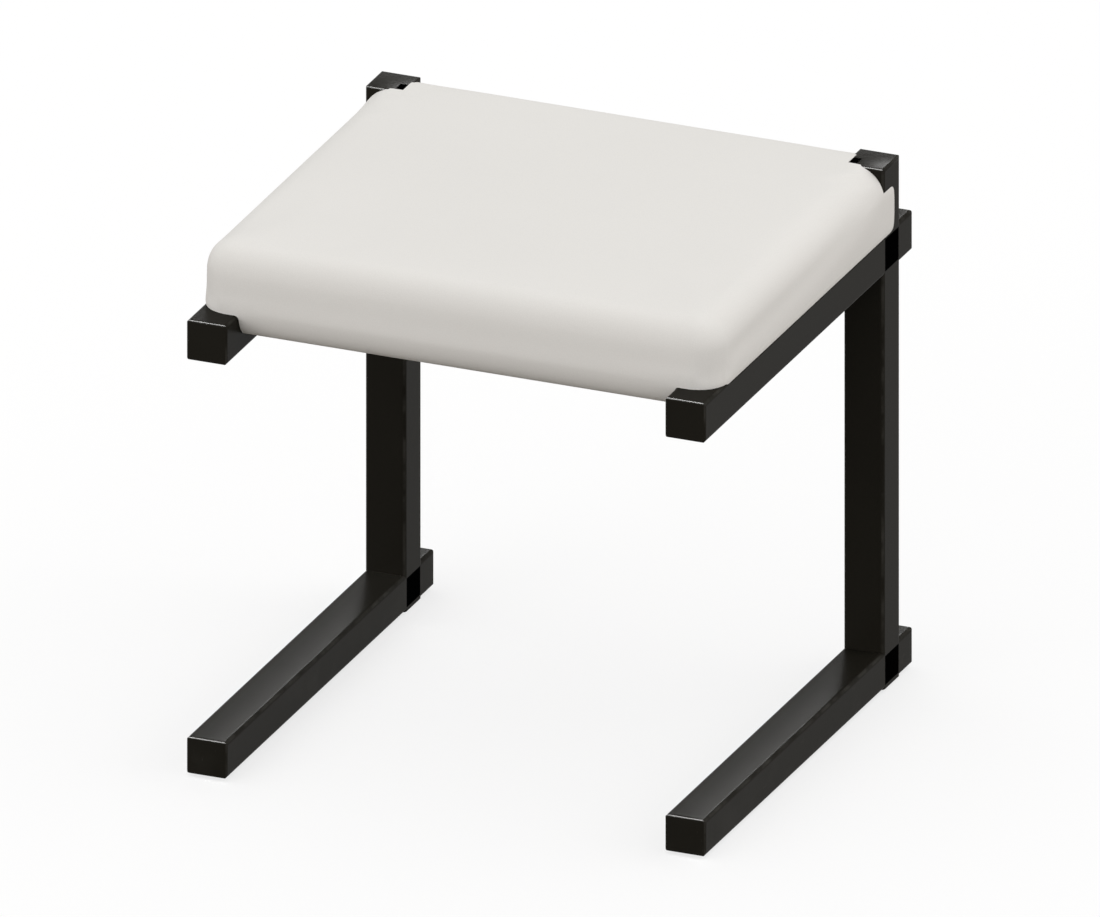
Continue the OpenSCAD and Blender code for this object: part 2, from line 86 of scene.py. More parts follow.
class Wire:
    """A value socket that takes part in Python arithmetic."""

    def __init__(self, board: Board, socket: bpy.types.NodeSocket) -> None:
        """Holds a socket of the board's node tree.

        Args:
            board: The material under work, which makes the Math nodes.
            socket: The output socket that carries the value.
        """
        self.board = board
        self.socket = socket

    def _apply(self, operation: str, first: Any, second: Any) -> Wire:
        """Makes one Math node.

        Args:
            operation: The node's operation.
            first: A wire or a number.
            second: A wire or a number.

        Returns:
            The result as a wire.
        """
        made = self.board.node(
            "ShaderNodeMath", {"operation": operation}, {0: first, 1: second}
        )
        return Wire(self.board, made.outputs[0])

    def __add__(self, other: Any) -> Wire:
        """This value plus another."""
        return self._apply("ADD", self, other)

    def __radd__(self, other: Any) -> Wire:
        """Another value plus this one."""
        return self._apply("ADD", other, self)

    def __sub__(self, other: Any) -> Wire:
        """This value less another."""
        return self._apply("SUBTRACT", self, other)

    def __rsub__(self, other: Any) -> Wire:
        """Another value less this one."""
        return self._apply("SUBTRACT", other, self)

    def __mul__(self, other: Any) -> Wire:
        """This value times another."""
        return self._apply("MULTIPLY", self, other)

    def __rmul__(self, other: Any) -> Wire:
        """Another value times this one."""
        return self._apply("MULTIPLY", other, self)

    def __abs__(self) -> Wire:
        """This value without its sign."""
        return self._apply("ABSOLUTE", self, 0.0)

    def highest(self, other: Any) -> Wire:
        """The larger of this value and another."""
        return self._apply("MAXIMUM", self, other)


class Board:
    """A material, or the world, and the nodes on it."""

    def __init__(self, name: str, holder: bpy.types.ID | None = None) -> None:
        """Starts with no nodes.

        Args:
            name: The material's name.
            holder: The world, or None for a new material.
        """
        self.material = holder or bpy.data.materials.new(name)
        self.material.use_nodes = True
        self.tree = self.material.node_tree
        self.tree.nodes.clear()

    def node(
        self,
        kind: str,
        settings: Mapping[str, Any] | None = None,
        inputs: Sockets | None = None,
    ) -> bpy.types.Node:
        """Adds one node, sets it up and then feeds its sockets.

        Args:
            kind: The node's type.
            settings: Attributes of the node, set first.
            inputs: Socket name or number to a wire, a socket or a constant.

        Returns:
            The new node.
        """
        made = self.tree.nodes.new(kind)
        for key, value in (settings or {}).items():
            setattr(made, key, value)
        for key, value in (inputs or {}).items():
            socket = made.inputs[key]
            if isinstance(value, Wire):
                self.tree.links.new(value.socket, socket)
            elif isinstance(value, bpy.types.NodeSocket):
                self.tree.links.new(value, socket)
            else:
                socket.default_value = value
        return made

    def wire(self, node: bpy.types.Node, output: str | int = 0) -> Wire:
        """The named output of a node as a wire."""
        return Wire(self, node.outputs[output])

    def place(self, projection: Projection = Projection.OBJECT) -> bpy.types.NodeSocket:
        """The texture coordinate that a pattern is laid out on."""
        return self.node("ShaderNodeTexCoord").outputs[projection.value]

    def stretched(self, scale: tuple[float, float, float]) -> bpy.types.NodeSocket:
        """Object coordinates scaled along each axis.

        Args:
            scale: Factor along X, Y and Z.

        Returns:
            The scaled vector.
        """
        made = self.node("ShaderNodeMapping", None, {"Vector": self.place(), "Scale": scale})
        return made.outputs[0]

    def noise(self, scale: float, detail: float = 2.0, vector: Any = None) -> Wire:
        """Soft noise from 0 to 1.

        Args:
            scale: Lumps to the metre.
            detail: Octaves of finer noise.
            vector: Coordinates, or None for the object's own.

        Returns:
            The noise as a wire.
        """
        source = self.place() if vector is None else vector
        made = self.node(
            "ShaderNodeTexNoise", None, {"Vector": source, "Scale": scale, "Detail": detail}
        )
        return self.wire(made, "Fac")

    def cells(self, scale: float, vector: Any = None) -> Wire:
        """Distance to the edges of a cell pattern, 0 on an edge.

        Args:
            scale: Cells to the metre.
            vector: Coordinates, or None for the object's own.

        Returns:
            The distance as a wire.
        """
        source = self.place() if vector is None else vector
        made = self.node(
            "ShaderNodeTexVoronoi",
            {"feature": "DISTANCE_TO_EDGE"},
            {"Vector": source, "Scale": scale},
        )
        return self.wire(made, "Distance")

    def between(self, value: Wire, low: float, high: float) -> Wire:
        """A smooth step of a value from 0 at low to 1 at high.

        Args:
            value: The value to test.
            low: Where the step starts.
            high: Where it ends.

        Returns:
            The step as a wire.
        """
        made = self.node(
            "ShaderNodeMapRange",
            {"interpolation_type": "SMOOTHSTEP"},
            {"Value": value, "From Min": low, "From Max": high},
        )
        return self.wire(made)

    def parts(self, projection: Projection = Projection.OBJECT) -> tuple[Wire, Wire, Wire]:
        """The X, Y and Z of a place on the object or of its normal.

        Args:
            projection: Which of the two.

        Returns:
            Three wires.
        """
        made = self.node("ShaderNodeSeparateXYZ", None, {0: self.place(projection)})
        return self.wire(made, "X"), self.wire(made, "Y"), self.wire(made, "Z")

    def height(self) -> Wire:
        """Height above the floor, in metres."""
        return self.parts()[2]

    def rounding(self) -> Wire:
        """1 on the rounded edges of a square-cut piece and 0 on its flat faces."""
        x, y, z = (abs(part) for part in self.parts(Projection.NORMAL))
        return self.between(1.0 - x.highest(y).highest(z), low=0.02, high=0.16)

    def blend(self, factor: Any, first: Any, second: Any) -> bpy.types.NodeSocket:
        """Mixes two colours.

        Args:
            factor: A wire, 0 for the first colour and 1 for the second.
            first: A colour or a colour socket.
            second: A colour or a colour socket.

        Returns:
            The mixed colour's socket.
        """
        made = self.node(
            "ShaderNodeMix",
            {"data_type": "RGBA"},
            {"Factor": factor, 6: first, 7: second},
        )
        return made.outputs[2]

    def bump(self, height: Wire, strength: float, distance: float) -> bpy.types.NodeSocket:
        """A relief that feeds Normal.

        Args:
            height: The relief's height as a wire.
            strength: The node's strength.
            distance: The height of a value of 1, in metres.

        Returns:
            The normal's socket.
        """
        made = self.node(
            "ShaderNodeBump",
            None,
            {"Height": height, "Strength": strength, "Distance": distance},
        )
        return made.outputs[0]

    def surface(self, inputs: Sockets) -> bpy.types.Material:
        """Ends the material in one Principled surface.

        Args:
            inputs: Sockets of the Principled node.

        Returns:
            The finished material.
        """
        shader = self.node("ShaderNodeBsdfPrincipled", None, inputs)
        self.node("ShaderNodeOutputMaterial", None, {"Surface": shader.outputs[0]})
        return self.material


def grey(level: float) -> Colour:
    """An even colour of one level."""
    return (level, level, level, 1.0)


def tinted(colour: Colour, factor: float) -> Colour:
    """A colour made lighter or darker by a factor."""
    return (colour[0] * factor, colour[1] * factor, colour[2] * factor, 1.0)


@dataclass(frozen=True)
class CoatedMetal:
    """Satin powder coat on tube and castings, scuffed low down, and lighter on its rounded edges:
    partly rubbed wear, partly a painted edge highlight.
    """

    name: str = "frame_coat"
    colour: Colour = (0.0130, 0.0118, 0.0090, 1.0)
    # Lighter colour for the scuffs, and for the rounded edges, where it is partly a painted
    # highlight.
    rubbed: Colour = (0.05, 0.048, 0.042, 1.0)
    dust: Colour = (0.09, 0.085, 0.075, 1.0)
    dust_share: float = 0.12
    scuff_share: float = 0.4
    edge_wear_and_highlight_share: float = 0.55
    roughness: float = 0.30
    specular: float = 0.016
    peel_scale: float = 620.0
    peel_height: float = 0.00003
    scuff_height: float = 0.05
    tube_place: float = 0.2075
    tube_half: float = 0.0175
    crown: float = 0.0005
    domed_at: float | None = None

    def relief(self, board: Board) -> Wire:
        """The peel of the coat on the slightly crowned walls of the tube.

        Args:
            board: The material under work.

        Returns:
            The height in metres.
        """
        x, y, _ = board.parts()
        across = abs(x) - self.tube_place
        spread = across * across
        if self.domed_at is not None:
            along = y - self.domed_at
            spread = spread + along * along
        crown = spread * (-self.crown / self.tube_half**2)
        return board.noise(self.peel_scale) * self.peel_height + crown

    def material(self) -> bpy.types.Material:
        """The coat with its fine peel, cloudy sheen, dust, scuffs and lighter rounded edges, partly
        wear and partly painted highlight.

        Returns:
            The finished material.
        """
        board = Board(self.name)
        cloud = board.noise(scale=9.0, detail=3.0)
        hairs = board.noise(70.0, 6.0, board.stretched((9.0, 0.7, 2.0)))
        low_down = 1.0 - board.between(board.height(), 0.0, self.scuff_height)
        scuffs = board.between(hairs, low=0.66, high=0.74) * low_down
        dust = board.between(board.noise(scale=24.0, detail=4.0), low=0.45, high=0.8) * low_down
        rubbing = board.between(board.noise(scale=55.0, detail=5.0), low=0.35, high=0.7)
        base = board.blend(cloud, tinted(self.colour, 0.85), tinted(self.colour, 1.2))
        dusty = board.blend(dust * self.dust_share, base, self.dust)
        scuffed = board.blend(scuffs * self.scuff_share, dusty, self.rubbed)
        # Lighter colour on every rounded edge: partly rubbed wear, partly a painted edge highlight.
        edges_worn_and_highlit = board.blend(board.rounding() * rubbing * self.edge_wear_and_highlight_share, scuffed, self.rubbed)
        return board.surface(
            {
                "Base Color": edges_worn_and_highlit,
                "Roughness": self.roughness - 0.04 + cloud * 0.08 + scuffs * 0.15,
                "Specular IOR Level": self.specular,
                "Normal": board.bump(self.relief(board), 1.0, 1.0),
            }
        )


@dataclass(frozen=True)
class MouldedPlastic:
    """Moulded black plastic with a fine spark-eroded grain."""

    name: str = "black_nylon"
    colour: Colour = (0.0008, 0.0008, 0.0008, 1.0)
    roughness: float = 0.8
    specular: float = 0.0
    grain_scale: float = 1500.0
    grain_height: float = 0.00003

    def material(self) -> bpy.types.Material:
        """The plastic with its grain and faint flow marks.

        Returns:
            The finished material.
        """
        board = Board(self.name)
        grain = board.noise(self.grain_scale, 3.0)
        flow = board.noise(30.0, 2.0, board.stretched((1.0, 1.0, 4.0)))
        base = board.blend(flow, tinted(self.colour, 0.8), tinted(self.colour, 1.25))
        return board.surface(
            {
                "Base Color": base,
                "Roughness": self.roughness - 0.06 + flow * 0.12,
                "Specular IOR Level": self.specular,
                "Normal": board.bump(grain, 0.3, self.grain_height),
            }
        )


@dataclass(frozen=True)
class ZincPlate:
    """Bright zinc plate on screws, washers, nuts and staples."""

    name: str = "zinc_steel"
    colour: Colour = (0.42, 0.42, 0.40, 1.0)
    tarnished: Colour = (0.2, 0.19, 0.17, 1.0)
    roughness: float = 0.3
    spangle_height: float = 0.00003

    def material(self) -> bpy.types.Material:
        """The plate with its spangle and light tarnish.

        Returns:
            The finished material.
        """
        board = Board(self.name)
        spangle = board.noise(scale=900.0)
        tarnish = board.between(board.noise(scale=160.0, detail=4.0), low=0.5, high=0.75)
        return board.surface(
            {
                "Base Color": board.blend(tarnish, self.colour, self.tarnished),
                "Metallic": 1.0,
                "Roughness": self.roughness + tarnish * 0.25,
                "Normal": board.bump(spangle, 0.2, self.spangle_height),
            }
        )


@dataclass(frozen=True)
class BirchPly:
    """Plywood of the seat board: plies on the edges, long grain on the faces."""

    name: str = "plywood"
    pale: Colour = (0.62, 0.46, 0.28, 1.0)
    grained: Colour = (0.46, 0.32, 0.18, 1.0)
    ply_line: Colour = (0.3, 0.2, 0.11, 1.0)
    ply: float = 0.0015
    roughness: float = 0.6
    grain_height: float = 0.0002

    def material(self) -> bpy.types.Material:
        """The board's grain and plies.

        Returns:
            The finished material.
        """
        board = Board(self.name)
        layers = board.node(
            "ShaderNodeMath", {"operation": "PINGPONG"}, {0: board.height(), 1: self.ply}
        )
        plies = board.between(board.wire(layers), self.ply * 0.3, self.ply * 0.7)
        grain = board.noise(60.0, 6.0, board.stretched((0.6, 12.0, 12.0)))
        light = board.blend(grain, self.pale, self.grained)
        return board.surface(
            {
                "Base Color": board.blend(plies * 0.5, light, self.ply_line),
                "Roughness": self.roughness + grain * 0.15,
                "Normal": board.bump(grain, 0.3, self.grain_height),
            }
        )


@dataclass(frozen=True)
class SeatVinyl:
    """Pale coated cover cloth with a fine leather grain."""

    name: str = "seat_vinyl"
    colour: Colour = (0.775, 0.762, 0.732, 1.0)
    roughness: float = 0.62
    specular: float = 0.03
    pore_scale: float = 620.0
    warp_scale: float = 260.0
    warp: float = 0.0012
    fold_scale: float = 38.0
    pore_depth: float = 0.00007

    def warped(self, board: Board) -> bpy.types.NodeSocket:
        """Object coordinates shifted about a little, so that no row of pores is straight.

        Args:
            board: The material under work.

        Returns:
            The shifted vector.
        """
        shift = board.node(
            "ShaderNodeTexNoise", None, {"Vector": board.place(), "Scale": self.warp_scale}
        )
        made = board.node(
            "ShaderNodeVectorMath",
            {"operation": "MULTIPLY_ADD"},
            {0: shift.outputs["Color"], 1: (self.warp,) * 3, 2: board.place()},
        )
        return made.outputs[0]

    def material(self) -> bpy.types.Material:
        """The cover with pores, soft creases, slight rubbing and painted shade in the grain's
        grooves.

        Returns:
            The finished material.
        """
        board = Board(self.name)
        cells = board.cells(self.pore_scale, self.warped(board))
        pores = board.between(cells, low=0.0, high=0.22)
        fine = board.noise(scale=2200.0)
        cloud = board.noise(scale=6.0, detail=3.0)
        folds = board.noise(self.fold_scale)
        rubbed = board.between(board.noise(scale=11.0, detail=4.0), low=0.5, high=0.8)
        base = board.blend(cloud, tinted(self.colour, 0.975), tinted(self.colour, 1.02))
        # Painted shade: the grain's grooves, low in the relief below, are darkened.
        grooves_shaded = board.blend((1.0 - pores) * 0.12, base, tinted(self.colour, 0.8))
        relief = pores * 0.7 + fine * 0.3 + folds * 2.5
        return board.surface(
            {
                "Base Color": grooves_shaded,
                "Roughness": self.roughness - 0.05 + rubbed * 0.1 + (1.0 - pores) * 0.08,
                "Specular IOR Level": self.specular,
                "Normal": board.bump(relief, 0.25, self.pore_depth),
            }
        )


@dataclass(frozen=True)
class DustCloth:
    """Black spunbonded cloth under the seat."""

    name: str = "dust_cloth"
    colour: Colour = (0.012, 0.012, 0.012, 1.0)
    lint: Colour = (0.12, 0.12, 0.115, 1.0)
    roughness: float = 0.82
    specular: float = 0.15
    dot_scale: float = 520.0
    dot_height: float = 0.00015

    def material(self) -> bpy.types.Material:
        """The cloth with its pressed dots and loose fibres.

        Returns:
            The finished material.
        """
        board = Board(self.name)
        dots = board.between(board.cells(self.dot_scale), low=0.02, high=0.3)
        fibres = board.noise(900.0, 5.0, board.stretched((1.0, 6.0, 1.0)))
        lint = board.between(board.noise(scale=340.0, detail=3.0), low=0.64, high=0.74)
        base = board.blend(fibres, tinted(self.colour, 0.7), tinted(self.colour, 1.8))
        return board.surface(
            {
                "Base Color": board.blend(lint * 0.3, base, self.lint),
                "Roughness": self.roughness + dots * 0.12,
                "Specular IOR Level": self.specular,
                "Normal": board.bump(dots + fibres * 0.6, 0.6, self.dot_height),
            }
        )


@dataclass(frozen=True)
class Thread:
    """Twisted sewing thread in the cover's colour."""

    name: str = "seat_thread"
    colour: Colour = (0.7, 0.69, 0.66, 1.0)
    roughness: float = 0.6
    twist_scale: float = 900.0
    twist_height: float = 0.0001

    def material(self) -> bpy.types.Material:
        """The thread with its twist, darker in the twist's grooves as painted shade.

        Returns:
            The finished material.
        """
        board = Board(self.name)
        twist = board.node(
            "ShaderNodeTexWave",
            {"bands_direction": "DIAGONAL"},
            {"Vector": board.place(), "Scale": self.twist_scale, "Distortion": 0.6},
        )
        turns = board.wire(twist, "Fac")
        return board.surface(
            {
                # Painted shade: the low bands of the twist are darkened.
                "Base Color": board.blend(turns, tinted(self.colour, 0.75), self.colour),
                "Roughness": self.roughness + turns * 0.15,
                "Normal": board.bump(turns, 0.5, self.twist_height),
            }
        )


def new_mesh(name: str, points: Sequence[Any], faces: Sequence[Any]) -> bpy.types.Object:
    """Makes a mesh object at the origin of the shared frame.

    Args:
        name: The object's name.
        points: Vertices in metres.
        faces: Vertex numbers of each face.

    Returns:
        The new object.
    """
    mesh = bpy.data.meshes.new(name)
    mesh.from_pydata([tuple(map(float, p)) for p in points], [], [tuple(f) for f in faces])
    mesh.validate()
    made = bpy.data.objects.new(name, mesh)
    bpy.context.scene.collection.objects.link(made)
    return made


def ring_faces(
    levels: int, count: int, start: int = 0, mirrored: bool = False
) -> list[tuple[int, ...]]:
    """Faces of a closed stack of rings that turn anticlockwise seen from the last ring.

    Args:
        levels: Number of rings.
        count: Vertices of a ring.
        start: Number of the first vertex.
        mirrored: Whether the rings turn the other way.

    Returns:
        Vertex numbers of each face.
    """
    faces: list[tuple[int, ...]] = [tuple(reversed(range(start, start + count)))]
    for level, k in product(range(levels - 1), range(count)):
        row = start + level * count
        a, b = row + k, row + (k + 1) % count
        faces.append((a, b, b + count, a + count))
    last = start + (levels - 1) * count
    faces.append(tuple(range(last, last + count)))
    return [tuple(reversed(f)) for f in faces] if mirrored else faces


def settle(piece: bpy.types.Object) -> None:
    """Applies all modifiers of a piece to its mesh.

    Args:
        piece: The piece, which gets a new mesh.
    """
    graph = bpy.context.evaluated_depsgraph_get()
    graph.update()
    fresh = bpy.data.meshes.new_from_object(piece.evaluated_get(graph))
    old = piece.data
    piece.modifiers.clear()
    piece.data = fresh
    bpy.data.meshes.remove(old)


def cut(piece: bpy.types.Object, cutters: Iterable[bpy.types.Object]) -> None:
    """Takes each cutter's space out of a piece and removes the cutters.

    Args:
        piece: The piece that is cut.
        cutters: Closed meshes.
    """
    for cutter in cutters:
        step = piece.modifiers.new("cut", "BOOLEAN")
        step.operation = "DIFFERENCE"
        step.solver = "EXACT"
        step.object = cutter
        settle(piece)
        bpy.data.objects.remove(cutter)


def coordinates(mesh: bpy.types.Mesh) -> np.ndarray:
    """The vertices of a mesh.

    Args:
        mesh: The mesh that is read.

    Returns:
        Rows of X, Y and Z.
    """
    flat = np.empty(len(mesh.vertices) * 3, np.float32)
    mesh.vertices.foreach_get("co", flat)
    return flat.reshape(-1, 3).astype(float)


def move_vertices(mesh: bpy.types.Mesh, places: np.ndarray) -> None:
    """Puts the vertices of a mesh at new places."""
    mesh.vertices.foreach_set("co", places.astype(np.float32).ravel())
    mesh.update()


def step_up(value: np.ndarray, low: float, high: float) -> np.ndarray:
    """A smooth step from 0 at low to 1 at high."""
    share = np.clip((value - low) / (high - low), 0.0, 1.0)
    return share * share * (3.0 - 2.0 * share)


@dataclass
class BackSeam:
    """The closing seam at the back of the cover, with a row of stitches on each side."""

    thread: bpy.types.Material
    back: float
    level: float
    depth: float = 0.9 * MM
    width: float = 1.5 * MM
    pressed_to: float = 0.165
    ends_at: float = 0.18
    edge_band: tuple[float, float] = (8 * MM, 3 * MM)
    row_gap: float = 3.0 * MM
    sewn_to: float = 0.158
    stitch_pitch: float = 4.2 * MM
    stitch_share: float = 0.36
    thick: float = 0.32 * MM
    end_share: float = 0.2
    reach_from: float = 0.05
    ring: int = 8
    sections: int = 5

    def press(self, piece: bpy.types.Object) -> None:
        """Presses the seam's groove into the cushion.

        Args:
            piece: The cushion.
        """
        places = coordinates(piece.data)
        outer, inner = (self.back - band for band in self.edge_band)
        at_back = step_up(places[:, 1], outer, inner)
        along = 1.0 - step_up(np.abs(places[:, 0]), self.pressed_to, self.ends_at)
        groove = np.exp(-(((places[:, 2] - self.level) / self.width) ** 2))
        places[:, 1] -= self.depth * groove * at_back * along
        move_vertices(piece.data, places)

    def stitch(self, place: Vector) -> list[Vector]:
        """The rings of one stitch, thin at its ends, lying along X.

        Args:
            place: Its middle on the cover.

        Returns:
            The vertices, ring by ring.
        """
        length = self.stitch_pitch * self.stitch_share
        points = []
        for share in (-1.0 + 2.0 * s / (self.sections - 1) for s in range(self.sections)):
            girth = self.thick * max(self.end_share, math.sqrt(1.0 - share * share))
            for k in range(self.ring):
                turn = 2 * math.pi * k / self.ring
                y, z = girth * math.cos(turn), girth * math.sin(turn)
                points.append(place + Vector((share * length, y, z)))
        return points

    def sewn(self, piece: bpy.types.Object) -> bpy.types.Object:
        """Lays the stitches above and below the groove.

        Args:
            piece: The cushion that the stitches lie on.

        Returns:
            The stitches as one piece.
        """
        points: list[Vector] = []
        faces: list[tuple[int, ...]] = []
        xs = np.arange(-self.sewn_to, self.sewn_to, self.stitch_pitch)
        for row, x in product((-self.row_gap, self.row_gap), xs):
            behind = (x, self.back + self.reach_from, self.level + row)
            hit, place, _, _ = piece.ray_cast(behind, (0, -1, 0))
            if hit:
                faces += ring_faces(self.sections, self.ring, len(points))
                points += self.stitch(place)
        made = new_mesh("seat_back_stitches", points, faces)
        made.data.materials.append(self.thread)
        made.data.shade_smooth()
        return made


@dataclass
class SeatCushion:
    """The padded seat: a full, softly crowned block fitted over the rails and posts."""

    finish: bpy.types.Material
    thread: bpy.types.Material
    radius: float = 26.4 * MM
    fullness: float = 2.6
    side_share: float = 0.2
    corner_steps: int = 7
    pitch: float = 7.0 * MM
    slack: float = 0.2 * MM
    crown: float = 1.2 * MM
    drawn_in: float = 0.2 * MM
    post_swell: float = 0.6 * MM
    post_swell_reach: float = 16.0 * MM
    held_band: tuple[float, float] = (2 * MM, 16 * MM)
    held_reach: float = 22 * MM
    cloth_quality: int = 6
    cloth_mass: float = 0.3
    cloth_stretch: float = 30.0
    cloth_bend: float = 6.0
    pressure: float = 4.0
    frames: int = 20
    swell_cap: float = 1.5 * MM
    fit: float = 0.3 * MM
    tongue_room: float = 0.7 * MM
    tube_corner: float = 3.4 * MM
    tube_corner_points: int = 6
    cap_radius: float = 2.0 * MM
    cap_turns: Sequence[float] = (0.0, 25.0, 45.0, 60.0, 72.0, 82.0)
    rim_lap: float = 3.0 * MM
    rim_thickness: float = 0.08 * MM
    cutter_past: float = 40 * MM
    seam_drop: float = 30.0 * MM
    smooth_below: float = 38.0
    fill: float = 0.95
    low: Vector = field(default_factory=lambda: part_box("seat_cover")[0])
    high: Vector = field(default_factory=lambda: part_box("seat_cover")[1])

    def stations(self, low: float, high: float) -> np.ndarray:
        """Places of the grid lines along one axis, closer together on the rounded edges.

        Args:
            low: Lowest place.
            high: Highest place.

        Returns:
            The places in order.
        """
        turn = self.radius * np.tan(np.linspace(0.0, math.pi / 4, self.corner_steps + 1))
        flat = high - low - 2 * self.radius
        count = max(2, round(flat / self.pitch))
        middle = np.linspace(low + self.radius, high - self.radius, count + 1)
        start, end = low + self.radius - turn[:0:-1], high - self.radius + turn[1:]
        return np.concatenate([start, middle, end])

    def shell(self) -> tuple[np.ndarray, list[tuple[int, ...]]]:
        """The closed block with all its edges rounded, as an even net of quads.

        Returns:
            Vertices and faces.
        """
        low = np.array(self.low) + self.slack
        high = np.array(self.high) - self.slack
        low[2] = self.low[2]
        axes = [self.stations(low[k], high[k]) for k in range(3)]
        counts = [len(a) for a in axes]
        numbers: dict[tuple[int, int, int], int] = {}
        points: list[list[float]] = []
        faces: list[tuple[int, ...]] = []

        def number(key: tuple[int, int, int]) -> int:
            """The vertex number of a grid place, made when first asked for.

            Args:
                key: The place's number along X, Y and Z.

            Returns:
                The vertex number.
            """
            if key not in numbers:
                numbers[key] = len(points)
                points.append([axes[k][key[k]] for k in range(3)])
            return numbers[key]

        for axis, far_side in product(range(3), (False, True)):
            u, v = (axis + 1) % 3, (axis + 2) % 3
            for i, j in product(range(counts[u] - 1), range(counts[v] - 1)):
                ring = []
                for a, b in ((i, j), (i + 1, j), (i + 1, j + 1), (i, j + 1)):
                    key = [0, 0, 0]
                    key[axis], key[u], key[v] = (counts[axis] - 1) * far_side, a, b
                    ring.append(number((key[0], key[1], key[2])))
                faces.append(tuple(ring if far_side else reversed(ring)))
        grid = np.array(points)
        inner = np.clip(grid, low + self.radius, high - self.radius)
        out = grid - inner
        out /= np.linalg.norm(out, axis=1)[:, None]
        places = inner + self.radius * out
        self.fill_out(places, out, (high[2] - low[2]) / 2)
        return self.shaped(places), faces

    def fill_out(self, places: np.ndarray, out: np.ndarray, half: float) -> None:
        """Turns the flat sides into full, evenly curved ones.

        Args:
            places: Vertices of the plain rounded block, moved in place.
            out: Outward direction at each vertex.
            half: Half the height of the block.
        """
        middle = (places[:, 2].min() + places[:, 2].max()) / 2
        height = np.abs(places[:, 2] - middle)
        past = np.clip(height - (half - self.radius), 0.0, self.radius)
        plain = self.radius - np.sqrt(np.maximum(self.radius**2 - past**2, 0.0))
        level = np.linalg.norm(out[:, :2], axis=1)
        sideways = out[:, :2] / np.maximum(level, TINY)[:, None]
        share = np.clip(height / half, 0.0, 1.0) ** self.fullness
        full = self.radius * (1.0 - (1.0 - share) ** (1.0 / self.fullness))
        facing = self.side_share + (1.0 - self.side_share) * sideways[:, 1] ** 2
        places[:, :2] -= sideways * ((full - plain) * facing * (level > 1e-6))[:, None]

    def shaped(self, places: np.ndarray) -> np.ndarray:
        """Gives the block its crown and draws its sides in towards the underside.

        Args:
            places: Vertices of the plain block.

        Returns:
            The vertices after shaping.
        """
        low, high = np.array(self.low), np.array(self.high)
        middle, half = (low + high) / 2, (high - low) / 2
        share = (places - middle) / half
        dome = (1.0 - share[:, 0] ** 2) * (1.0 - share[:, 1] ** 2)
        upper = step_up(places[:, 2], high[2] - self.radius, high[2] - self.slack)
        lower = 1.0 - step_up(places[:, 2], low[2], middle[2])
        made = places.copy()
        made[:, 2] += self.crown * np.clip(dome, 0.0, 1.0) * upper
        made[:, 2] += self.post_swell * self.near_posts(places) * upper
        for k in (0, 1):
            made[:, k] -= share[:, k] * self.drawn_in * lower
        return made

    def near_posts(self, places: np.ndarray) -> np.ndarray:
        """How much the tight post pockets press the foam up, from 0 to 1.

        Args:
            places: The vertices.

        Returns:
            The share at each vertex.
        """
        post_low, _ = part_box("right_upper_post")
        gap_x = np.clip(post_low[0] - np.abs(places[:, 0]), 0.0, None)
        gap_y = np.clip(post_low[1] - places[:, 1], 0.0, None)
        return np.exp(-(gap_x**2 + gap_y**2) / self.post_swell_reach**2)

    def held(self, places: np.ndarray) -> np.ndarray:
        """How firmly each vertex is held: along the rails, the board and the posts.

        Args:
            places: The vertices.

        Returns:
            A weight from 0, free, to 1, held.
        """
        post_low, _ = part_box("right_upper_post")
        rail_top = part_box("right_seat_rail")[1][2]
        start, end = (rail_top + band for band in self.held_band)
        below = 1.0 - step_up(places[:, 2], start, end)
        near_x = step_up(np.abs(places[:, 0]), post_low[0] - self.held_reach, post_low[0])
        near_y = step_up(places[:, 1], post_low[1] - self.held_reach, post_low[1])
        return np.maximum(below, near_x * near_y)

    def swell(self, piece: bpy.types.Object) -> None:
        """Lets the foam press the cover out with a short cloth simulation.

        Args:
            piece: The cushion, still a plain net of quads.
        """
        start = coordinates(piece.data)
        weights = self.held(start)
        group = piece.vertex_groups.new(name="held")
        for index, weight in enumerate(weights):
            group.add([index], float(weight), "REPLACE")
        cloth = piece.modifiers.new("cloth", "CLOTH")
        cloth.settings.quality = self.cloth_quality
        cloth.settings.mass = self.cloth_mass
        cloth.settings.tension_stiffness = self.cloth_stretch
        cloth.settings.compression_stiffness = self.cloth_stretch
        cloth.settings.bending_stiffness = self.cloth_bend
        cloth.settings.use_pressure = True
        cloth.settings.uniform_pressure_force = self.pressure
        cloth.settings.vertex_group_mass = "held"
        cloth.settings.effector_weights.gravity = 0.0
        cloth.point_cache.frame_end = self.frames
        scene = bpy.context.scene
        for number in range(1, self.frames + 1):
            scene.frame_set(number)
        graph = bpy.context.evaluated_depsgraph_get()
        moved = coordinates(piece.evaluated_get(graph).data)
        scene.frame_set(1)
        piece.modifiers.clear()
        piece.vertex_groups.clear()
        step = moved - start
        length = np.linalg.norm(step, axis=1)[:, None]
        limit = self.swell_cap * np.tanh(length / self.swell_cap)
        move_vertices(piece.data, start + step * limit / np.maximum(length, TINY))
        log.info("cushion swelled by up to %.2f mm", float(limit.max()) / MM)

